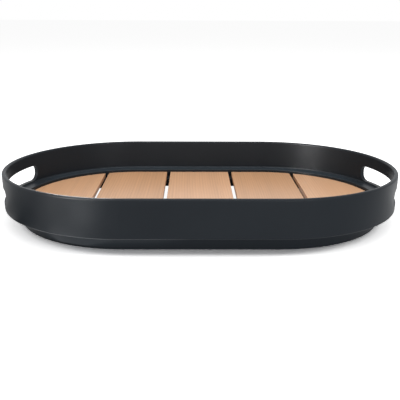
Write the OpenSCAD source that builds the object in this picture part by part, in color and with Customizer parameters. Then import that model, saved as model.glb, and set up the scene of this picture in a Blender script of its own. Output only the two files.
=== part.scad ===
// Oval serving tray. A moulded shell has an upright wall with a hand slot in
// each end, a flat ledge inside its foot, and a narrower plinth that it stands
// on. Five hardwood boards lie in the opening, with gaps between them, and are
// screwed down from below on a lip inside the plinth.
//
// Millimetres. +X runs along the tray, +Y goes from the front to the back and
// +Z up. The origin is on the table, under the middle of the tray.
// An inset is a distance in from the outline of the rim, seen from above.

/* [Tray] */
// Length of the rim, end to end
tray_length = 500; // [420:5:560]
// Width of the rim, front to back, which is also twice the radius of the ends
tray_width = 324; // [280:4:360]
// Height of the rim above the table
tray_height = 64.5; // [56:0.5:90]

/* [Wall] */
// Thickness of the upright wall
wall_thickness = 5.5; // [3:0.25:7]
// How far the wall leans in on its way down from the rim to its foot
wall_draft = 1; // [0:0.25:3]
// Rounding of both edges of the rim, as a share of the wall's thickness
rim_rounding_share = 0.42; // [0.1:0.02:0.48]
// Rounding of the outer edge of the wall's foot
foot_rounding = 2; // [0.5:0.25:2.5]

/* [Ledge] */
// Height of the ledge's top above the table
ledge_height = 25; // [24:0.5:26]
// Width of the ledge, from the wall to the opening for the boards
ledge_width = 14.5; // [8:0.5:24]
// Thickness of the ledge, down to the wall's foot
ledge_thickness = 6.5; // [3:0.25:7]
// Fillet between the ledge and the wall
ledge_fillet = 2; // [0.5:0.25:2.25]
// Rounding of the ledge's edge over the boards
ledge_rounding = 1; // [0.25:0.25:2]

/* [Plinth] */
// Thickness of the plinth's wall
plinth_thickness = 3; // [2.5:0.25:5]
// How far the plinth leans in on its way down to the table
plinth_draft = 3.5; // [0:0.25:4]
// Rounding of the plinth's outer edge on the table
plinth_rounding = 1.25; // [0.5:0.25:1.75]
// Fillet between the plinth and the ledge above it
plinth_fillet = 2; // [0.5:0.25:3]

/* [Lip under the boards] */
// Width of the lip that carries the boards, from the opening's wall
lip_width = 17; // [14:0.5:24]
// Thickness of the lip
lip_thickness = 2.5; // [2:0.25:3.5]
// Rounding of the lip's free edge
lip_rounding = 1; // [0.25:0.25:1]
// Fillet between the lip and the plinth under it
lip_fillet = 1.5; // [0.5:0.25:2.5]
// Diameter of the bosses under the lip
boss_diameter = 10; // [8:0.5:12]
// Height of the bosses under the lip
boss_height = 1.5; // [1:0.25:3]
// Thickness of the gussets that stiffen the lip between the boards
gusset_thickness = 2.4; // [1.2:0.2:4]
// Reach of the gussets under the lip
gusset_reach = 8; // [4:0.5:11]
// Height of the gussets down the plinth
gusset_height = 7; // [4:0.5:8]

/* [Boards] */
// Width of the three boards between the end boards
board_width = 87; // [70:1:95]
// Gap between two boards
board_gap = 5; // [3:0.5:10]
// Thickness of the boards
board_thickness = 6.5; // [6:0.5:9]
// How far the boards lie below the ledge
board_drop = 3.5; // [1:0.5:4.5]
// Room for the wood to swell, round all the boards
board_clearance = 1; // [0.5:0.25:3]
// Rounding of the boards' edges
board_rounding = 0.8; // [0.2:0.1:2]

/* [Hand slots] */
// Length of the hand slots, straight across inside the wall
slot_length = 140; // [90:5:170]
// Height of the hand slots
slot_height = 20.5; // [18:0.5:24]
// Height of the slots' lower edge above the ledge
slot_sill = 2.5; // [2.5:0.5:6]
// Rounding of the slots' upper corners
slot_upper_rounding = 7; // [2:0.5:7.5]
// Rounding of the slots' lower corners
slot_lower_rounding = 10; // [4:0.5:10]

/* [Screws] */
// Diameter of the screws' thread
screw_diameter = 3.5; // [3:0.25:4.5]
// Length of the screws under the head
screw_length = 9.5; // [8:0.25:9.5]
// Length of the screws' point
screw_point = 2.5; // [1.5:0.25:4]
// Diameter of the screws' heads
head_diameter = 7; // [6:0.25:8.5]
// Height of the screws' heads
head_height = 2.2; // [1.6:0.1:3]
// Rounding of the heads, as a share of their height
head_dome_share = 0.75; // [0.5:0.05:1]
// Width of the cross recess's blades
recess_width = 1; // [0.6:0.1:1.4]
// Length of the cross recess's blades
recess_length = 4; // [3:0.25:5]
// Depth of the cross recess
recess_depth = 1.3; // [0.8:0.1:1.5]
// Room round a screw in the shell
screw_clearance = 0.25; // [0.1:0.05:0.6]
// Room round a screw in the wood
pilot_clearance = 0.05; // [0.02:0.01:0.2]
// Depth of the pilot holes past the screws' points
pilot_spare = 0.25; // [0.1:0.05:0.4]
// How far the line of screws lies in from the opening's wall
screw_line = 9; // [7:0.5:11]
// Distance of an end board's outer screws from its straight edge
end_screw_distance = 32; // [12:1:45]

/* [Hidden] */
$fn = 96;
// How far a cut runs past what it cuts
overrun = 1;
// Steps of an arc in a profile
arc_steps = 6;

// The tray in plan is two half circles joined by straight sides.
end_radius = tray_width / 2;
end_centre = tray_length / 2 - end_radius;

// Heights above the table
boards_top = ledge_height - board_drop;
lip_top = boards_top - board_thickness;
lip_bottom = lip_top - lip_thickness;
boss_bottom = lip_bottom - boss_height;
foot_height = ledge_height - ledge_thickness;
slot_bottom = ledge_height + slot_sill;

// Insets from the rim's outline
foot_inner_inset = wall_draft + wall_thickness;
opening_inset = foot_inner_inset + ledge_width;
plinth_top_inset = opening_inset - plinth_thickness;
plinth_foot_inset = plinth_top_inset + plinth_draft;
lip_edge_inset = opening_inset + lip_width;
board_inset = opening_inset + board_clearance;
screw_inset = opening_inset + screw_line;

// The hand slots' ends, as an angle from the tray's long axis
slot_turn = asin(slot_length / 2 / (end_radius - foot_inner_inset));

// The boards
board_pitch = board_width + board_gap;
middle_boards = [-1, 0, 1];
end_board_start = board_pitch * 1.5 + board_gap / 2;
end_board_length = tray_length / 2 - board_inset - end_board_start;
end_screw_x = end_board_start + end_screw_distance;
end_screw_turn = acos((end_screw_x - end_centre) / (end_radius - screw_inset));

// Radius of an inset line where the tray's end is round
function radius_at(inset) = end_radius - inset;

// How far the wall leans in at a height
function wall_lean(height) = wall_draft * (tray_height - height) / (tray_height - foot_height);

// How far the plinth leans in at a height
function plinth_lean(height) = plinth_draft * (foot_height - height) / foot_height;

// Points of an arc about centre, from one angle to another
function arc(centre, radius, from, to) = [
    for (step = [0:arc_steps])
        let (angle = from + (to - from) * step / arc_steps)
        centre + radius * [cos(angle), sin(angle)]
];

// A place on the ring, as the centre that it turns about and its angle. It is
// given by its distance along the tray, and side is 1 at the back and -1 at the front.
function place_along(x, side, inset) =
    let (past = max(abs(x) - end_centre, 0))
    let (turn = asin(past / radius_at(inset)))
    [sign(x) * min(abs(x), end_centre), side * (90 - sign(x) * turn)];

// A place on one end of the ring, by its angle from the tray's long axis
function place_on_end(end, angle) = [end * end_centre, end > 0 ? angle : 180 - angle];

// Screw places of one of the middle boards, two at each end of it
function middle_screws(number) = [
    for (side = [-1, 1])
        for (half = [-1, 1])
            place_along(number * board_pitch + half * board_width / 4, side, screw_inset)
];

// Screw places of an end board, with the middle one at its tip
function end_screws(end) = [
    for (step = [-1, 0, 1]) place_on_end(end, step * end_screw_turn)
];

// Gussets stand under the gaps between the boards, and between an end board's screws.
gusset_places = [
    for (side = [-1, 1])
        for (gap = [-1.5, -0.5, 0.5, 1.5]) place_along(gap * board_pitch, side, opening_inset),
    for (end = [-1, 1])
        for (side = [-1, 1]) place_on_end(end, side * end_screw_turn / 2)
];
screw_places = [
    for (number = middle_boards) each middle_screws(number),
    for (end = [-1, 1]) each end_screws(end)
];

// Puts its children at a place on the ring, with their +X pointing outwards
module at_place(place) {
    translate([place[0], 0, 0]) rotate([0, 0, place[1]]) children();
}

// Sweeps a profile round the tray's oval. Its x is the radius at the ends.
module round_the_oval() {
    for (end = [-1, 1])
        translate([end * end_centre, 0, 0])
            rotate([0, 0, end * 90 - 180]) rotate_extrude(angle = 180) children();
    for (side = [-1, 1])
        rotate([0, 0, side * 90]) rotate([90, 0, 0])
            linear_extrude(height = 2 * end_centre, center = true) children();
}

// A rectangle with rounded corners, from the origin
module eased_rectangle(width, height, rounding) {
    polygon([
        each arc([width - rounding, height - rounding], rounding, 0, 90),
        each arc([rounding, height - rounding], rounding, 90, 180),
        each arc([rounding, rounding], rounding, 180, 270),
        each arc([width - rounding, rounding], rounding, 270, 360)
    ]);
}

// The shell's section, from the rim down the inside and up the outside
module shell_profile() {
    rim_rounding = wall_thickness * rim_rounding_share;
    rim_inner = radius_at(wall_thickness);
    ledge_wall = radius_at(wall_lean(ledge_height) + wall_thickness);
    opening = radius_at(opening_inset);
    lip_edge = radius_at(lip_edge_inset);
    plinth_inner_top = radius_at(opening_inset + plinth_lean(lip_bottom));
    plinth_inner_foot = radius_at(plinth_foot_inset + plinth_thickness);
    plinth_outer_foot = radius_at(plinth_foot_inset);
    plinth_outer_top = radius_at(plinth_top_inset);
    foot_outer = radius_at(wall_draft);
    polygon([
        each arc([end_radius - rim_rounding, tray_height - rim_rounding], rim_rounding, 0, 90),
        each arc([rim_inner + rim_rounding, tray_height - rim_rounding], rim_rounding, 90, 180),
        each arc([ledge_wall - ledge_fillet, ledge_height + ledge_fillet], ledge_fillet, 0, -90),
        each arc([opening + ledge_rounding, ledge_height - ledge_rounding], ledge_rounding, 90, 180),
        [opening, lip_top],
        each arc([lip_edge + lip_rounding, lip_top - lip_rounding], lip_rounding, 90, 180),
        [lip_edge, lip_bottom],
        each arc([plinth_inner_top - lip_fillet, lip_bottom - lip_fillet], lip_fillet, 90, 0),
        [plinth_inner_foot, 0],
        each arc([plinth_outer_foot - plinth_rounding, plinth_rounding], plinth_rounding, 270, 360),
        each arc([plinth_outer_top + plinth_fillet, foot_height - plinth_fillet],
            plinth_fillet, 180, 90),
        each arc([foot_outer - foot_rounding, foot_height + foot_rounding], foot_rounding, 270, 360)
    ]);
}

// A triangular gusset in the corner under the lip
module gusset() {
    corner = radius_at(opening_inset + plinth_lean(lip_bottom));
    root = plinth_thickness / 2;
    rotate([90, 0, 0])
        linear_extrude(height = gusset_thickness, center = true)
            polygon([
                [corner + root, lip_bottom + lip_thickness / 2],
                [corner - gusset_reach, lip_bottom + lip_thickness / 2],
                [corner - gusset_reach, lip_bottom],
                [corner, lip_bottom - gusset_height],
                [corner + root, lip_bottom - gusset_height]
            ]);
}

// Half of a hand slot, seen from outside, with its lower edge at y = 0 and its
// rounded end at x = 0. The other end lies past the middle of the slot.
module half_slot_profile() {
    lower = slot_lower_rounding;
    upper = slot_upper_rounding;
    reach = end_radius * tan(slot_turn) + overrun;
    translate([-reach, 0]) square([reach - lower, slot_height]);
    translate([-reach, lower]) square([reach, slot_height - lower - upper]);
    translate([-reach, lower]) square([reach - upper, slot_height - lower]);
    translate([-lower, lower]) circle(r = lower);
    translate([-upper, slot_height - upper]) circle(r = upper);
}

// The cut for the hand slot in one end. Each half runs square to the wall at its
// own end of the slot, so the slot opens outwards and a side core can leave it.
module hand_slot(end) {
    start = radius_at(opening_inset) / 2;
    for (side = [0, 1])
        translate([end * end_centre, 0, slot_bottom])
            rotate([0, 0, end > 0 ? 0 : 180]) mirror([0, side, 0]) rotate([0, 0, slot_turn])
                translate([start, 0, 0]) rotate([90, 0, 90])
                    linear_extrude(height = end_radius) half_slot_profile();
}

module tray_shell() {
    color("#2d3136")
        difference() {
            union() {
                round_the_oval() shell_profile();
                for (place = screw_places)
                    at_place(place)
                        translate([radius_at(screw_inset), 0, boss_bottom])
                            cylinder(d = boss_diameter, h = boss_height + lip_thickness / 2);
                for (place = gusset_places) at_place(place) gusset();
            }
            for (end = [-1, 1]) hand_slot(end);
            for (place = screw_places)
                at_place(place)
                    translate([radius_at(screw_inset), 0, boss_bottom - overrun])
                        cylinder(
                            d = screw_diameter + 2 * screw_clearance,
                            h = lip_top - boss_bottom + 2 * overrun
                        );
        }
}

// The oval that all the boards together fill, with eased edges
module boards_oval() {
    reach = radius_at(board_inset);
    translate([0, 0, lip_top])
        round_the_oval()
            polygon([
                [0, 0],
                each arc([reach - board_rounding, board_rounding], board_rounding, -90, 0),
                each arc([reach - board_rounding, board_thickness - board_rounding],
                    board_rounding, 0, 90),
                [0, board_thickness]
            ]);
}

// A board across the tray, from x to x + width, cut to the oval, with its pilot holes
module board(x, width, places) {
    color("#d6ab86")
        difference() {
            intersection() {
                boards_oval();
                translate([x, 0, lip_top])
                    rotate([90, 0, 0])
                        linear_extrude(height = tray_width, center = true)
                            eased_rectangle(width, board_thickness, board_rounding);
            }
            for (place = places)
                at_place(place)
                    translate([radius_at(screw_inset), 0, boss_bottom])
                        cylinder(
                            d = screw_diameter + 2 * pilot_clearance,
                            h = screw_length + pilot_spare
                        );
        }
}

module middle_board(number) {
    board(number * board_pitch - board_width / 2, board_width, middle_screws(number));
}

// The end boards run on past the oval's end, which cuts them round.
module end_board(end) {
    strip = end_board_length + board_rounding + overrun;
    start = end > 0 ? end_board_start : -end_board_start - strip;
    board(start, strip, end_screws(end));
}

// A pan head wood screw, head down, with the underside of its head at z = 0
module screw() {
    shank = screw_length - screw_point;
    difference() {
        union() {
            rotate_extrude() screw_head_profile();
            cylinder(d = screw_diameter, h = shank);
            translate([0, 0, shank])
                cylinder(d1 = screw_diameter, d2 = recess_width / 2, h = screw_point);
        }
        for (turn = [0, 90])
            rotate([0, 0, turn])
                translate([-recess_length / 2, -recess_width / 2, -head_height - overrun])
                    cube([recess_length, recess_width, recess_depth + overrun]);
    }
}

// Half of the pan head, flat under the rim and domed below
module screw_head_profile() {
    dome = head_height * head_dome_share;
    rim = head_diameter / 2;
    polygon([
        [0, 0],
        [rim, 0],
        for (step = [0:arc_steps])
            let (angle = 90 * step / arc_steps)
            [rim - dome + dome * cos(angle), -head_height + dome - dome * sin(angle)],
        [0, -head_height]
    ]);
}

module screws(places) {
    color("#b9bcbf")
        for (place = places)
            at_place(place) translate([radius_at(screw_inset), 0, boss_bottom]) screw();
}

tray_shell();
end_board(-1);  // left_end_board
middle_board(-1);  // left_board
middle_board(0);  // centre_board
middle_board(1);  // right_board
end_board(1);  // right_end_board
screws(end_screws(-1));  // left_end_board_screws
screws(middle_screws(-1));  // left_board_screws
screws(middle_screws(0));  // centre_board_screws
screws(middle_screws(1));  // right_board_screws
screws(end_screws(1));  // right_end_board_screws
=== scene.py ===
# %% [markdown]
# # An oval serving tray, dressed for its picture
#
# The real tray is one dark plastic moulding with five beech boards laid in it. Its solids
# come finished from the CAD frame, in metres, with +X along the tray, +Y from the front to
# the back and +Z up. Nothing here changes a shape. This lesson gives each piece the finish
# of the real thing, stands the tray on a pale studio floor, lights it softly and points a
# camera at it.

# %% Load the frame
import math

import bpy
from mathutils import Matrix, Vector


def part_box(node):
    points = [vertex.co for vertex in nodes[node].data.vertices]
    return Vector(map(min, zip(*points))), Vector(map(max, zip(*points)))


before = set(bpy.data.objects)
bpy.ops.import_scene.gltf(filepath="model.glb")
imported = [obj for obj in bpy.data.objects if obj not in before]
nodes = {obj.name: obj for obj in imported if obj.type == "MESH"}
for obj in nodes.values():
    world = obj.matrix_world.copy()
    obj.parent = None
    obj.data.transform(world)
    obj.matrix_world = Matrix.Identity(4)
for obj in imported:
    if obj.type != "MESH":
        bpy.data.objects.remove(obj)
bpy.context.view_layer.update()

print("CAD nodes:", ", ".join(sorted(nodes)))

# %% [markdown]
# ## Measuring the tray
#
# Patterns and masks below follow the tray's own outline. Its leading sizes could be typed in
# again, but then they would go wrong when the CAD part changes, so they are read from the
# frame. Seen from above the tray is a slot shape: two half circles joined by straight sides.
# Half of its width is therefore the radius of its ends, and what is left of its length puts
# the centre of each end.

# %% Leading sizes
MM = 0.001

low, high = (Vector(corner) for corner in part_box("tray_shell"))
tray_size = high - low
end_radius = tray_size.y / 2
end_centre = tray_size.x / 2 - end_radius
print(f"tray {tray_size.x / MM:.0f} x {tray_size.y / MM:.0f} x {tray_size.z / MM:.1f} mm")
print(f"end radius {end_radius / MM:.0f} mm, end centres at X {end_centre / MM:.0f} mm each way")

# %% [markdown]
# ## Colours as they are written
#
# A hex colour is an sRGB value, the way a screen shows it, while a shader mixes light in
# linear values. One function turns the first into the second, so that every colour in this
# file can be written as a person would pick it on a screen.

# %% Colour helper
def linear(hex_colour):
    """Linear RGBA of an sRGB colour such as "#d8b490"."""
    channels = [int(hex_colour[i:i + 2], 16) / 255 for i in (1, 3, 5)]
    return [c / 12.92 if c <= 0.04045 else ((c + 0.055) / 1.055) ** 2.4 for c in channels] + [1]


WHITE = linear("#ffffff")
print("mid grey is", round(linear("#808080")[0], 3), "in linear light")

# %% [markdown]
# ## A helper for node trees
#
# A procedural material is a small machine of nodes. It could be put together by hand in the
# shader editor, but a script can be read, compared and run again. One helper adds a node,
# sets its properties and its sockets, and links what feeds it. A socket is given by its name
# or its number, and its value is either a constant or the output of another node. With it,
# each material below reads as a list of steps.

# %% Node helper
def add(tree, kind, inputs=None, **settings):
    """Adds a node to a tree. inputs maps a socket to a value or to an output to link."""
    node = tree.nodes.new("ShaderNode" + kind)
    for name, value in settings.items():
        setattr(node, name, value)
    for socket, value in (inputs or {}).items():
        if isinstance(value, bpy.types.NodeSocket):
            tree.links.new(value, node.inputs[socket])
        else:
            node.inputs[socket].default_value = value
    return node


def new_material(name):
    """An empty node material, its tree and its output node."""
    material = bpy.data.materials.new(name)
    material.use_nodes = True
    tree = material.node_tree
    tree.nodes.clear()
    return material, tree, add(tree, "OutputMaterial")


print("node helpers ready")

# %% [markdown]
# ## Patterns with a real size
#
# Most of the patterns here are noises, which are smooth random values in space. Blender
# counts an object's coordinates in metres. They are turned into millimetres first, so that
# the scale of a pattern is simply one over the size of its marks. A noise could run from 0
# to 1, but it seldom strays beyond 0.3 and 0.7, and so those are the two ends that are
# mapped to a roughness or a tone.

# %% Pattern helper
NOISE_RANGE = {"From Min": 0.3, "From Max": 0.7}
# At this scale the light and the dark marks of a noise are each about one unit wide.
UNIT_MARKS = 0.5


def in_millimetres(tree, stretch=(1, 1, 1), place=(0, 0, 0)):
    """Object coordinates in millimetres, stretched and moved."""
    coordinates = add(tree, "TexCoord").outputs["Object"]
    scale = [s / MM for s in stretch]
    mapping = add(tree, "Mapping", {"Vector": coordinates, "Location": place, "Scale": scale})
    return mapping.outputs["Vector"]


print("a noise is mapped from", *NOISE_RANGE.values())

# %% [markdown]
# ## Where the ledge is painted lighter
#
# The flat top of the ledge round the boards catches the light from above and shows as a soft
# pale band. That band is painted light: the top is painted a little paler. It could be
# painted by hand, but a mask worked out from the shape needs no unwrapping. The ledge is the
# part of the shell that faces up between two heights, so the mask asks for the facing and
# the height. It fades out at the ends of the tray.

# %% Mask of the ledge's top
# The heights between which the ledge's top lies, and the distances from the tray's middle
# between which its painted light fades out, in millimetres.
LEDGE_HEIGHTS = (23, 30)
LEDGE_FADE = (200, 230)
# The upward share of a face's normal at which the painted light sets in, and at which it is full.
LEDGE_LIGHT_FACING = (0.3, 0.9)


def ledge_light_mask(tree, place):
    """1 on the ledge's top, where light is painted, and 0 elsewhere."""
    at = add(tree, "SeparateXYZ", {0: place}).outputs
    normal = add(tree, "TexCoord").outputs["Normal"]
    facing = add(tree, "SeparateXYZ", {0: normal}).outputs["Z"]
    up = add(tree, "MapRange", {"Value": facing, "From Min": LEDGE_LIGHT_FACING[0],
                                "From Max": LEDGE_LIGHT_FACING[1]})
    above = add(tree, "Math", {0: at["Z"], 1: LEDGE_HEIGHTS[0]}, operation="GREATER_THAN")
    below = add(tree, "Math", {0: at["Z"], 1: LEDGE_HEIGHTS[1]}, operation="LESS_THAN")
    level = add(tree, "Math", {0: above.outputs[0], 1: below.outputs[0]}, operation="MULTIPLY")
    along = add(tree, "Math", {0: at["X"]}, operation="ABSOLUTE")
    fade = add(tree, "MapRange", {"Value": along.outputs[0], "From Min": LEDGE_FADE[0],
                                  "From Max": LEDGE_FADE[1], "To Min": 1, "To Max": 0})
    top = add(tree, "Math", {0: level.outputs[0], 1: up.outputs[0]}, operation="MULTIPLY")
    return add(tree, "Math", {0: top.outputs[0], 1: fade.outputs[0]},
               operation="MULTIPLY").outputs[0]


# This tells how far out from the middle the ledge's painted light reaches before it fades.
print("the ledge is rubbed out to", LEDGE_FADE[0], "mm from the middle, and fades from there")

# %% [markdown]
# ## Moulded ABS for the shell
#
# The shell is ABS, injection moulded in charcoal with a trace of blue. The steel mould is
# spark eroded, which leaves a fine, even pebble in the plastic: it breaks reflections up
# into broad, soft glows and hides scratches. Cut into the mesh it would take millions of
# faces, so it is a bump map. The pebble is about 0.2 mm across, too fine for a picture of
# the whole tray, and is drawn at 0.5 mm. A slow, faint waviness under it is what cooling
# does to any large flat moulding.
#
# ABS is a dielectric: metallic 0 and an IOR of about 1.52. Its roughness starts from 0.4,
# typical for a fine spark finish, and comes down by a few hundredths where hands and the
# mould have polished it. The pebble also shades itself at low angles, so less gloss comes
# back than from a smooth face of the same plastic. The specular level takes that off.

# %% ABS material
# The sizes of the patterns' marks and the depths of the two that stand out, in millimetres.
PEBBLE = 0.5
PEBBLE_DEPTH = 0.05
WAVE = 60
WAVE_DEPTH = 1
DRIFT = 90
ABS_DARK = "#1e2227"
ABS_LIGHT = "#22272c"
# Painted light: the paler colour of the ledge's top stands in for the light it catches from
# above.
ABS_PAINTED_LIGHT = "#2f363c"
ABS_ROUGHNESS = (0.34, 0.39)
ABS_IOR = 1.52
ABS_GLOSS = 0.1


def moulded_abs():
    """Satin charcoal plastic with a fine pebble, a faint waviness and painted light on the ledge.
    """
    material, tree, output = new_material("moulded_charcoal_abs")
    place = in_millimetres(tree)
    drift = add(tree, "TexNoise", {"Vector": place, "Scale": 1 / DRIFT, "Detail": 3})
    pebble = add(tree, "TexNoise", {"Vector": place, "Scale": 1 / PEBBLE, "Detail": 2})
    wave = add(tree, "TexNoise", {"Vector": place, "Scale": 1 / WAVE, "Detail": 1})
    new = add(tree, "Mix", {"Factor": drift.outputs["Fac"], "A": linear(ABS_DARK),
                            "B": linear(ABS_LIGHT)}, data_type="RGBA")
    # Painted light: the ledge's top is painted paler.
    with_ledge_light = add(tree, "Mix", {"Factor": ledge_light_mask(tree, place), "A": new.outputs["Result"],
                             "B": linear(ABS_PAINTED_LIGHT)}, data_type="RGBA")
    roughness = add(tree, "MapRange", {"Value": drift.outputs["Fac"], **NOISE_RANGE,
                                       "To Min": ABS_ROUGHNESS[0],
                                       "To Max": ABS_ROUGHNESS[1]})
    slow = add(tree, "Bump", {"Height": wave.outputs["Fac"], "Strength": 0.15,
                              "Distance": WAVE_DEPTH * MM})
    fine = add(tree, "Bump", {"Height": pebble.outputs["Fac"], "Strength": 0.12,
                              "Distance": PEBBLE_DEPTH * MM, "Normal": slow.outputs["Normal"]})
    shader = add(tree, "BsdfPrincipled", {"Base Color": with_ledge_light.outputs["Result"],
                                          "Roughness": roughness.outputs["Result"],
                                          "IOR": ABS_IOR, "Metallic": 0,
                                          "Specular IOR Level": ABS_GLOSS,
                                          "Normal": fine.outputs["Normal"]})
    tree.links.new(shader.outputs[0], output.inputs["Surface"])
    return material


shell_abs = moulded_abs()
print("made", shell_abs.name, "with", len(shell_abs.node_tree.nodes), "nodes")

# %% [markdown]
# ## Beech: marks along the grain
#
# The boards look like beech, sawn so that the grain runs straight from the front of the
# tray to the back, then planed, sanded and oiled. A picture of wood laid round each board
# would be quick, but its faces wouldn't agree with its edges and ends. Real wood is a solid
# with marks that run all through it, so these are drawn in space.
#
# Most of the marks are far longer along the grain than across it, and one helper gives a
# noise like that. It serves for the bands of tone, 8 mm or so wide, for the slow wander of
# the rings, and for the streaks of fine pores. Real pores are under half a millimetre wide
# and some tens of millimetres long. The streaks are drawn about twice as wide, so that they
# show.

# %% Marks along the grain
# The width of each kind of mark across the grain and its length along it, in millimetres.
BAND = (8, 260)
WANDER = (90, 220)
STREAK = (0.9, 70)


def along_grain(tree, mark, seed):
    """Noise whose marks are so many millimetres wide, and so many long along the grain."""
    wide, long = mark
    place = in_millimetres(tree, (1 / wide, 1 / long, 1 / wide))
    return add(tree, "TexNoise", {"Vector": place, "W": seed, "Scale": UNIT_MARKS, "Detail": 2},
               noise_dimensions="4D").outputs["Fac"]


print(f"bands {BAND[0]} mm wide, streaks {STREAK[0]} mm wide")

# %% [markdown]
# ## Beech: the rings
#
# A log has its rings about its middle, the pith. So the rings of a board are drawn as
# cylinders about a pith line that runs along +Y, well outside the board, and each board gets
# a pith of its own, because each was sawn from another part of the log. Faces, edges and
# ends then agree by themselves. The rings lie about 3 mm apart and wander a little, and they
# are faint, because beech has little difference between early and late wood.

# %% Growth rings
# The distance between rings and how far they wander from true circles, in millimetres.
RING = 3
RING_WANDER = 14
# The share of each ring that is early wood alone, before the late wood sets in.
EARLY_SHARE = 0.2
BEECH_EARLY = "#dca97d"
BEECH_LATE = "#d29d71"


def growth_rings(tree, pith, seed):
    """Colour of the rings about a pith at (x, z) millimetres."""
    place = in_millimetres(tree, (1, 0, 1), (-pith[0], 0, -pith[1]))
    radius = add(tree, "VectorMath", {0: place}, operation="LENGTH").outputs["Value"]
    wandered = add(tree, "Math", {0: along_grain(tree, WANDER, seed), 1: RING_WANDER,
                                  2: radius}, operation="MULTIPLY_ADD")
    turns = add(tree, "Math", {0: wandered.outputs[0], 1: RING}, operation="DIVIDE")
    ring = add(tree, "Math", {0: turns.outputs[0]}, operation="FRACT")
    late = add(tree, "MapRange", {"Value": ring.outputs[0], "From Min": EARLY_SHARE,
                                  "From Max": 1}, interpolation_type="SMOOTHSTEP")
    return add(tree, "Mix", {"Factor": late.outputs["Result"], "A": linear(BEECH_EARLY),
                             "B": linear(BEECH_LATE)}, data_type="RGBA").outputs["Result"]


print("rings", RING, "mm apart")

# %% [markdown]
# ## Beech: the rays
#
# Beech is known by its rays, short dark flecks 2 to 4 mm long and a third of a millimetre
# wide. These are drawn about twice as large, so that they show. A noise makes no separate
# flecks, but a Voronoi pattern does: it scatters points in space and tells how far the
# nearest one is, so that what lies close to a point becomes a fleck.

# %% Ray flecks
# The width and the length of a fleck, in millimetres, and how many times that far apart the
# flecks lie.
RAY = (0.7, 6)
RAY_SPACING = 2
# A fleck is darkest up to the first of these shares of the spacing, and ends at the second.
RAY_SHARES = (0.1, 0.26)
RAY_STRENGTH = 0.35
BEECH_RAY = "#8f6540"


def ray_flecks(tree, seed):
    """Strength of the dark of the flecks, and 0 between them."""
    wide, long = RAY
    place = in_millimetres(tree, (1 / wide, 1 / long, 1 / wide))
    points = add(tree, "TexVoronoi", {"Vector": place, "W": seed, "Scale": 1 / RAY_SPACING},
                 voronoi_dimensions="4D")
    return add(tree, "MapRange", {"Value": points.outputs["Distance"],
                                  "From Min": RAY_SHARES[0], "From Max": RAY_SHARES[1],
                                  "To Min": RAY_STRENGTH, "To Max": 0}).outputs["Result"]


print(f"flecks {RAY[0]} mm wide and {RAY[1]} mm long")

# %% [markdown]
# ## Oiled beech for a board
#
# The material of a board puts the marks together: the rings, the bands and streaks that
# lighten and darken them, and the flecks. In between comes the sap wood, the paler and
# pinker wood from the outside of the log, of which each board has its own share.
#
# Wood has an IOR near 1.5. Its roughness is about 0.3 where it is sanded and oiled, a little
# less on the hard wood between the pores. The oil lies on the wood as a thin film, which
# gives somewhat more gloss than bare wood has, so the specular level is up. At a low angle
# the film mirrors the bright studio, which makes the boards paler and pinker towards the
# front, while towards the back they mirror the dark wall behind them.

# %% Beech material
# How far the bands take the tone up and down, and the tones of the streaks, as factors.
BAND_SWING = 0.05
STREAK_TONES = (0.94, 1.05)
BEECH_SAP = "#ffeee4"
BEECH_ROUGHNESS = (0.34, 0.28)
BEECH_IOR = 1.5
BEECH_GLOSS = 0.9
PORE_DEPTH = 0.05
# What is added to a board's seed for its pores and its wander, so that no two noises match.
PORE_SEED = 7
WANDER_SEED = 0.3


def oiled_beech(name, pith, tone, sap, seed):
    """Beech with its pith at (x, z) millimetres, its own lightness and its share of sap wood."""
    material, tree, output = new_material(name)
    rings = growth_rings(tree, pith, seed + WANDER_SEED)
    band = add(tree, "MapRange", {"Value": along_grain(tree, BAND, seed), **NOISE_RANGE,
                                  "To Min": tone - BAND_SWING, "To Max": tone + BAND_SWING})
    pores = along_grain(tree, STREAK, seed + PORE_SEED)
    streak = add(tree, "MapRange", {"Value": pores, **NOISE_RANGE,
                                    "To Min": STREAK_TONES[0], "To Max": STREAK_TONES[1]})
    level = add(tree, "Math", {0: band.outputs["Result"], 1: streak.outputs["Result"]},
                operation="MULTIPLY")
    toned = add(tree, "VectorMath", {0: rings, "Scale": level.outputs[0]}, operation="SCALE")
    pale = add(tree, "Mix", {"Factor": sap, "A": toned.outputs["Vector"],
                             "B": linear(BEECH_SAP)}, data_type="RGBA")
    colour = add(tree, "Mix", {"Factor": ray_flecks(tree, seed), "A": pale.outputs["Result"],
                               "B": linear(BEECH_RAY)}, data_type="RGBA")
    roughness = add(tree, "MapRange", {"Value": pores, **NOISE_RANGE,
                                       "To Min": BEECH_ROUGHNESS[0],
                                       "To Max": BEECH_ROUGHNESS[1]})
    relief = add(tree, "Bump", {"Height": pores, "Strength": 0.2, "Distance": PORE_DEPTH * MM})
    shader = add(tree, "BsdfPrincipled", {"Base Color": colour.outputs["Result"],
                                          "Roughness": roughness.outputs["Result"],
                                          "IOR": BEECH_IOR, "Metallic": 0,
                                          "Specular IOR Level": BEECH_GLOSS,
                                          "Normal": relief.outputs["Normal"]})
    tree.links.new(shader.outputs[0], output.inputs["Surface"])
    return material


print("beech has a roughness of", BEECH_ROUGHNESS[1], "to", BEECH_ROUGHNESS[0])

# %% [markdown]
# ## Five boards from one log
#
# Boards that lie side by side are never alike, and one material on all five would show it.
# So each board gets a material of its own, with its own place in the log, lightness and
# share of sap wood, matched to the photograph.

# %% Each board's own beech
# Each board: where its pith lies, in millimetres, how light it is, and its share of sap wood.
BOARDS = {
    "left_end_board": ((-420, -60), 1.04, 0.05),
    "left_board": ((60, 160), 0.97, 0.02),
    "centre_board": ((-170, -90), 1.08, 0.07),
    "right_board": ((260, 110), 0.98, 0.025),
    "right_end_board": ((30, -70), 1.13, 0.08),
}
SEED_STEP = 10

beech = {name: oiled_beech("oiled_beech_" + name, *facts, SEED_STEP * number)
         for number, (name, facts) in enumerate(BOARDS.items())}
print("made beech for", ", ".join(beech))

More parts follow.
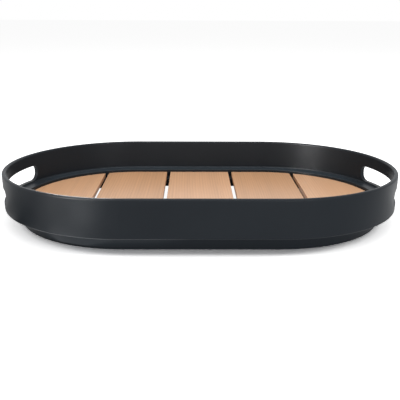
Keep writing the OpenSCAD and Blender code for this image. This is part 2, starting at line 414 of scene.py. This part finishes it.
# %% [markdown]
# ## Zinc-plated steel for the screws
#
# The screws hold the boards from below and are seen only when the tray is turned over. They
# are steel with a thin bright zinc plate, barrel plated with thousands of others, so the
# surface is a fine satin with a slightly uneven gloss. One even grey would look like paint,
# so a fine mottle changes the colour and the roughness together. A metal takes its look from
# these two alone, and keeps the default IOR.

# %% Zinc material
# The size of the mottle and its depth, in millimetres.
PLATING = 0.8
PLATING_DEPTH = 0.02
ZINC = "#b4b7ba"
ZINC_DULL = "#9a9c9f"
ZINC_ROUGHNESS = (0.42, 0.28)


def zinc_plated_steel():
    """Satin grey metal with a fine mottle."""
    material, tree, output = new_material("zinc_plated_steel")
    mottle = add(tree, "TexNoise", {"Vector": in_millimetres(tree), "Scale": 1 / PLATING,
                                    "Detail": 3})
    colour = add(tree, "Mix", {"Factor": mottle.outputs["Fac"], "A": linear(ZINC_DULL),
                               "B": linear(ZINC)}, data_type="RGBA")
    roughness = add(tree, "MapRange", {"Value": mottle.outputs["Fac"],
                                       "To Min": ZINC_ROUGHNESS[0],
                                       "To Max": ZINC_ROUGHNESS[1]})
    relief = add(tree, "Bump", {"Height": mottle.outputs["Fac"], "Strength": 0.1,
                                "Distance": PLATING_DEPTH * MM})
    shader = add(tree, "BsdfPrincipled", {"Base Color": colour.outputs["Result"],
                                          "Roughness": roughness.outputs["Result"],
                                          "Metallic": 1, "Normal": relief.outputs["Normal"]})
    tree.links.new(shader.outputs[0], output.inputs["Surface"])
    return material


zinc = zinc_plated_steel()
print("made", zinc.name)

# %% [markdown]
# ## Dressing the pieces
#
# The CAD solids have the right shapes already. Modelled again in Blender, they would only be
# a second version to keep like the first, so each one stays and only its finish changes. A
# solid's faces are shaded smooth by the normals it came with, which keeps its roundings soft
# and its corners crisp.

# %% Give each node its material
def finish_with(name, material):
    """Puts a material in every slot of a node."""
    for slot in nodes[name].material_slots:
        slot.material = material


finish_with("tray_shell", shell_abs)
for name, material in beech.items():
    finish_with(name, material)
    finish_with(name + "_screws", zinc)
print("dressed", len(nodes), "nodes")

# %% [markdown]
# ## How far a point is from the tray
#
# The floor has to know where the tray stands on it. The tray is a slot shape, so the
# distance from its middle line, a straight line from one end's centre to the other's, tells
# where a point lies: up to the end radius it is under the tray, and beyond it is outside.

# %% Distance helper
def outline_radius(tree):
    """Distance from the middle line of the tray's slot shape, in millimetres."""
    at = add(tree, "SeparateXYZ", {0: in_millimetres(tree)}).outputs
    along = add(tree, "Math", {0: at["X"]}, operation="ABSOLUTE")
    past = add(tree, "Math", {0: along.outputs[0], 1: end_centre / MM}, operation="SUBTRACT")
    outside = add(tree, "Math", {0: past.outputs[0], 1: 0}, operation="MAXIMUM")
    point = add(tree, "CombineXYZ", {"X": outside.outputs[0], "Y": at["Y"]})
    return add(tree, "VectorMath", {0: point.outputs[0]}, operation="LENGTH").outputs["Value"]


print(f"the tray's outline is {end_radius / MM:.0f} mm from its middle line")

# %% [markdown]
# ## Who is looking
#
# A studio can show the camera one thing and light the object with another, and more light on
# the object only to get a white background would spoil its colours. The Light Path node
# tells what kind of ray has come. The rays that look at the picture come from the camera,
# straight or through glass, and one helper finds them for the paper and for the room.

# %% Looking rays
def looking_ray(tree):
    """1 for a ray from the camera, straight or through glass, and 0 for others."""
    path = add(tree, "LightPath").outputs
    return add(tree, "Math", {0: path["Is Camera Ray"], 1: path["Is Transmission Ray"]},
               operation="MAXIMUM").outputs[0]


print("ray helper ready")

# %% [markdown]
# ## The studio floor
#
# The tray stands on white paper that runs out of the picture on all sides. One sheet plays
# two parts.
#
# The camera sees paper exposed one stop over, as in a catalogue picture: two white diffuse
# shaders added up are twice as bright as one. It burns out to white, and only the soft
# shadow close round the tray is left. The paper under the tray, which shows through the gaps
# between the boards, is painted light: it glows white where the tray's shadow would fall.
# Towards the right end board that glow turns into a brown painted shade.
#
# The tray sees even white paper, which glows at the strength of white: its wall mirrors the
# floor, and so would get the tray's own hard shadow as a dark band. Under the overhang of
# the wall that glow is dimmed, the way a soft shadow would dim it.

# %% Paper material
PAPER = "#f0f0f0"
# The brown of the painted shade below the right end board.
PAINTED_SHADE_BELOW = "#6e5546"
FIBRE_DEPTH = 0.1
# All in millimetres: where the painted white glow under the tray ends, inside the foot, where
# the dimmed glow is back at full strength, and over which stretch of X the painted shade
# below the tray sets in.
HOLLOW_EDGE = 137
GLOW_EDGE = 178
UNDER_SPAN = (100, 150)
DIMMEST = 0.3


def seen_paper(tree, radius):
    """What the camera sees: overexposed paper with a shadow, and below the tray painted light
    that turns into painted shade at the right.
    """
    place = in_millimetres(tree)
    fibre = add(tree, "TexNoise", {"Vector": place, "Scale": UNIT_MARKS, "Detail": 2})
    relief = add(tree, "Bump", {"Height": fibre.outputs["Fac"], "Strength": 0.02,
                                "Distance": FIBRE_DEPTH * MM})
    white = add(tree, "BsdfDiffuse", {"Color": WHITE, "Normal": relief.outputs["Normal"]})
    one_stop_over = add(tree, "AddShader", {0: white.outputs[0], 1: white.outputs[0]})
    # Painted light and painted shade: below the tray the paper glows white where the tray's
    # shadow would fall, and the glow turns brown towards the right.
    across = add(tree, "SeparateXYZ", {0: place}).outputs["X"]
    shade = add(tree, "MapRange", {"Value": across, "From Min": UNDER_SPAN[0],
                                   "From Max": UNDER_SPAN[1]})
    under = add(tree, "Mix", {"Factor": shade.outputs["Result"], "A": WHITE,
                              "B": linear(PAINTED_SHADE_BELOW)}, data_type="RGBA")
    painted_glow_below = add(tree, "Emission", {"Color": under.outputs["Result"], "Strength": 1})
    hollow = add(tree, "Math", {0: radius, 1: HOLLOW_EDGE}, operation="LESS_THAN")
    return add(tree, "MixShader", {0: hollow.outputs[0], 1: one_stop_over.outputs[0],
                                   2: painted_glow_below.outputs[0]}).outputs[0]


def white_paper():
    """Paper that shows the camera a soft shadow and the tray an even glow."""
    material, tree, output = new_material("white_paper_sweep")
    radius = outline_radius(tree)
    dim = add(tree, "MapRange", {"Value": radius, "From Min": HOLLOW_EDGE,
                                 "From Max": GLOW_EDGE, "To Min": DIMMEST, "To Max": 1})
    mirrored = add(tree, "Emission", {"Color": linear(PAPER), "Strength": dim.outputs["Result"]})
    both = add(tree, "MixShader", {0: looking_ray(tree), 1: mirrored.outputs[0],
                                   2: seen_paper(tree, radius)})
    tree.links.new(both.outputs[0], output.inputs["Surface"])
    # The glow is so even that looking for it as a lamp would only add noise.
    material.cycles.emission_sampling = "NONE"
    return material


paper = white_paper()
print("made", paper.name, "with", len(paper.node_tree.nodes), "nodes")

# %% [markdown]
# ## Laying the floor
#
# A studio bends its paper up behind the object. Here a flat sheet is enough, because the
# camera looks down and never meets its far edge. It belongs to the studio and not to the
# tray.

# %% Floor
FLOOR_WIDTH = 40

bpy.ops.mesh.primitive_plane_add(size=FLOOR_WIDTH)
floor = bpy.context.object
floor.name = "studio_floor"
floor.data.materials.append(paper)
print("floor", FLOOR_WIDTH, "m wide")

# %% [markdown]
# ## Cards that keep the gloss dark
#
# Where satin plastic should look dark between two glows, a photographer lays a black card
# in the place that it mirrors. The left end of the wall mirrors the paper in front of it and
# to its left, so a black card and a pale one lie there. Only the gloss sees them: they throw
# no shadow, take no light from the tray, and the camera doesn't see them.

# %% Cards on the floor
# Each card: where it lies and its size, in metres, and the darkest and lightest of its nap.
CARDS = {
    "black_card": ((-0.285, -0.1, 0.004), (0.1, 0.06), "#161616", "#222222"),
    "pale_card": ((-0.345, -0.035, 0.004), (0.15, 0.07), "#e0e0e0", "#ececec"),
}


def card_stock(name, dark, light):
    """Matt card with a faint nap."""
    material, tree, output = new_material(name)
    nap = add(tree, "TexNoise", {"Vector": in_millimetres(tree), "Scale": UNIT_MARKS,
                                 "Detail": 2})
    colour = add(tree, "Mix", {"Factor": nap.outputs["Fac"], "A": linear(dark),
                               "B": linear(light)}, data_type="RGBA")
    shader = add(tree, "BsdfDiffuse", {"Color": colour.outputs["Result"]})
    tree.links.new(shader.outputs[0], output.inputs["Surface"])
    return material


for name, (place, size, dark, light) in CARDS.items():
    bpy.ops.mesh.primitive_plane_add(size=1, location=place)
    card = bpy.context.object
    card.name = name
    card.scale = (*size, 1)
    card.data.materials.append(card_stock(name, dark, light))
    card.visible_camera = False
    card.visible_diffuse = False
    card.visible_shadow = False
    card.visible_transmission = False
print("cards:", ", ".join(CARDS))

# %% [markdown]
# ## The white room
#
# The world is the room. To the camera, to gloss and to glass it is plain white, strength 1,
# which is the white background. To matt surfaces it gives about half of that, an even fill,
# and the lamps give the rest, so that a colour on the boards shows about as it is written.

# %% World
FILL = 0.48

world = bpy.data.worlds.new("studio")
bpy.context.scene.world = world
world.use_nodes = True
tree = world.node_tree
tree.nodes.clear()
glossy_ray = add(tree, "LightPath").outputs["Is Glossy Ray"]
seen = add(tree, "Math", {0: looking_ray(tree), 1: glossy_ray}, operation="MAXIMUM")
fill = add(tree, "Background", {"Color": WHITE, "Strength": FILL})
backdrop = add(tree, "Background", {"Color": WHITE, "Strength": 1})
room = add(tree, "MixShader", {0: seen.outputs[0], 1: fill.outputs[0], 2: backdrop.outputs[0]})
tree.links.new(room.outputs[0], add(tree, "OutputWorld").inputs["Surface"])
print("world fill", FILL)

# %% [markdown]
# ## What a lamp lights
#
# In a real studio every lamp lights everything, and flags and screens keep it off what it
# would spoil. Blender has light linking instead: a lamp lights only the pieces of one
# collection. The lamps below light the whole tray, the shell alone or the floor alone. A
# lamp for gloss alone lights the whole tray too, but is hidden from its matt light.

# %% Light linking
def lit_pieces(name, pieces):
    """A collection of the pieces that a lamp lights, and nothing else."""
    collection = bpy.data.collections.new(name)
    for piece in pieces:
        collection.objects.link(piece)
    return collection


whole_tray = lit_pieces("lit_tray", nodes.values())
LIT = {
    "tray": whole_tray,
    "gloss": whole_tray,
    "shell": lit_pieces("lit_shell", [nodes["tray_shell"]]),
    "floor": lit_pieces("lit_floor", [floor]),
}
# The kinds of lamp that give matt light too. The others show in gloss alone.
MATT_LIGHT = ("tray", "floor")
print("lamps can light:", ", ".join(LIT))

# %% [markdown]
# ## Hanging a lamp
#
# Soft light comes from large or near lamps, so all of these are area lamps: boxes farther
# off, and small lit cards close by. A box has square corners. A card is cut oval, so that
# the light of one that lies close to the plinth fades out at its ends. A lamp shines along
# its own -Z, which is turned towards its target, and a card can then be turned about the
# vertical, to lie along a curved wall.

# %% Lamp helper
STRAIGHT_UP = Vector((0, 0, 1))


def hang_lamp(name, place, target, size, watts, lights, turn=0):
    """Adds an area lamp that points at a target, or straight up if it has none."""
    light = bpy.data.lights.new(name, "AREA")
    light.shape = "ELLIPSE" if name.endswith("card") else "RECTANGLE"
    light.size, light.size_y = size
    light.energy = watts
    lamp = bpy.data.objects.new(name, light)
    lamp.location = place
    aim = Vector(target) - Vector(place) if target else STRAIGHT_UP
    upright = Matrix.Rotation(math.radians(turn), 4, "Z")
    lamp.rotation_euler = (upright @ aim.to_track_quat("-Z", "Y").to_matrix().to_4x4()).to_euler()
    bpy.context.collection.objects.link(lamp)
    lamp.visible_camera = False
    lamp.visible_diffuse = lights in MATT_LIGHT
    lamp.light_linking.receiver_collection = LIT[lights]


print("lamp helper ready")

# %% [markdown]
# ## The lamps
#
# Satin plastic shows its shape by soft glows on a dark body, and each glow is a lamp or a
# lit card in the place that the plastic mirrors there. A picture of a studio wrapped round
# the scene would be quicker, but lamps can be moved one by one until each glow sits right.
# They are of four kinds:
#
# - for the tray: a big box overhead for the boards and the ledge, a low one in front for
#   the wall, and two narrow cards that open up the plinth at the front left;
# - for its gloss alone: two boxes at the front left, which make the tall glow on the wall and
#   the one inside it at the right, and small lit cards on the floor, which shape that glow;
# - for the shell's gloss alone: a small card above the boards that picks out the rim;
# - for the floor alone: a box at each side, which melts the shadow of the tray.

# %% Lamps
MIDDLE = (0, 0, 0)
RIM_SPOT = (-0.15, -0.13, tray_size.z)
# The lit cards on the floor shine straight up and have no target.
UP = None
# Each lamp: its place and what it points at, in metres, its width and height, its power in
# watts, what it lights, and for a card along the plinth its turn in degrees.
LAMPS = {
    "overhead_box": ((0, -0.2, 2.0), MIDDLE, (1.2, 1.0), 23, "tray"),
    "low_front_box": ((0.9, -2.0, 0.35), MIDDLE, (0.9, 0.5), 16, "tray"),
    "plinth_card": ((-0.154, -0.133, 0.003), UP, (0.12, 0.018), 0.0068, "tray", -23),
    "foot_card": ((-0.1, -0.158, 0.003), UP, (0.17, 0.02), 0.009, "tray"),
    "glow_box": ((-1.63, -1.5, 0.3), MIDDLE, (0.5, 0.5), 98, "gloss"),
    "high_glow_box": ((-1.21, -1.13, 1.3), MIDDLE, (0.6, 0.6), 60, "gloss"),
    "glow_card": ((-0.205, -0.265, 0.003), UP, (0.08, 0.08), 0.145, "gloss"),
    "upper_card": ((-0.3, -0.2, 0.003), UP, (0.06, 0.06), 0.04, "gloss"),
    "line_card": ((-0.18, -0.165, 0.003), UP, (0.09, 0.04), 0.025, "gloss"),
    "right_card": ((0.33, 0.05, 0.003), UP, (0.12, 0.1), 0.022, "gloss"),
    "rim_card": ((-0.17, 0.03, 0.155), RIM_SPOT, (0.09, 0.035), 0.32, "shell"),
    "floor_left_box": ((-1.6, -0.2, 1.2), MIDDLE, (0.8, 0.8), 11.5, "floor"),
    "floor_right_box": ((1.6, -0.2, 1.2), MIDDLE, (0.8, 0.8), 13.5, "floor"),
}

for name, facts in LAMPS.items():
    hang_lamp(name, *facts)
print(len(LAMPS), "lamps:", ", ".join(LAMPS))

# %% [markdown]
# ## The camera
#
# The picture is taken from the front, a little over 0.8 m away and a quarter of a metre up,
# looking down at 16 degrees. A camera placed by eye is never quite right. This one was
# found by fitting a plain pinhole camera to the tray's rim, wall, boards and plinth in the
# photograph, which gave its place, its angles and its lens.

# %% Camera
CAMERA_PLACE = (-8.8 * MM, -825 * MM, 254.5 * MM)
# How far the camera is turned to the right, looks down and leans over, in radians.
YAW = 0.0105
PITCH = 0.28
ROLL = 0.004
# The sensor's width in millimetres, and the focal length as a share of it.
SENSOR_WIDTH = 36
FOCAL_SHARE = 1.63565

camera = bpy.data.cameras.new("camera")
camera.sensor_width = SENSOR_WIDTH
camera.lens = SENSOR_WIDTH * FOCAL_SHARE
eye = bpy.data.objects.new("camera", camera)
bpy.context.collection.objects.link(eye)
turn = Matrix.Rotation(-YAW, 4, "Z") @ Matrix.Rotation(math.pi / 2 - PITCH, 4, "X")
eye.matrix_world = Matrix.Translation(CAMERA_PLACE) @ turn @ Matrix.Rotation(ROLL, 4, "Z")
bpy.context.scene.camera = eye
bpy.context.scene.view_settings.view_transform = "Standard"
print(f"lens {camera.lens:.1f} mm, looking down {math.degrees(PITCH):.0f} degrees")

# %% [markdown]
# ## The finished scene
#
# The tray is dressed and stands on its floor, under its lamps and before the camera.


print("scene ready")
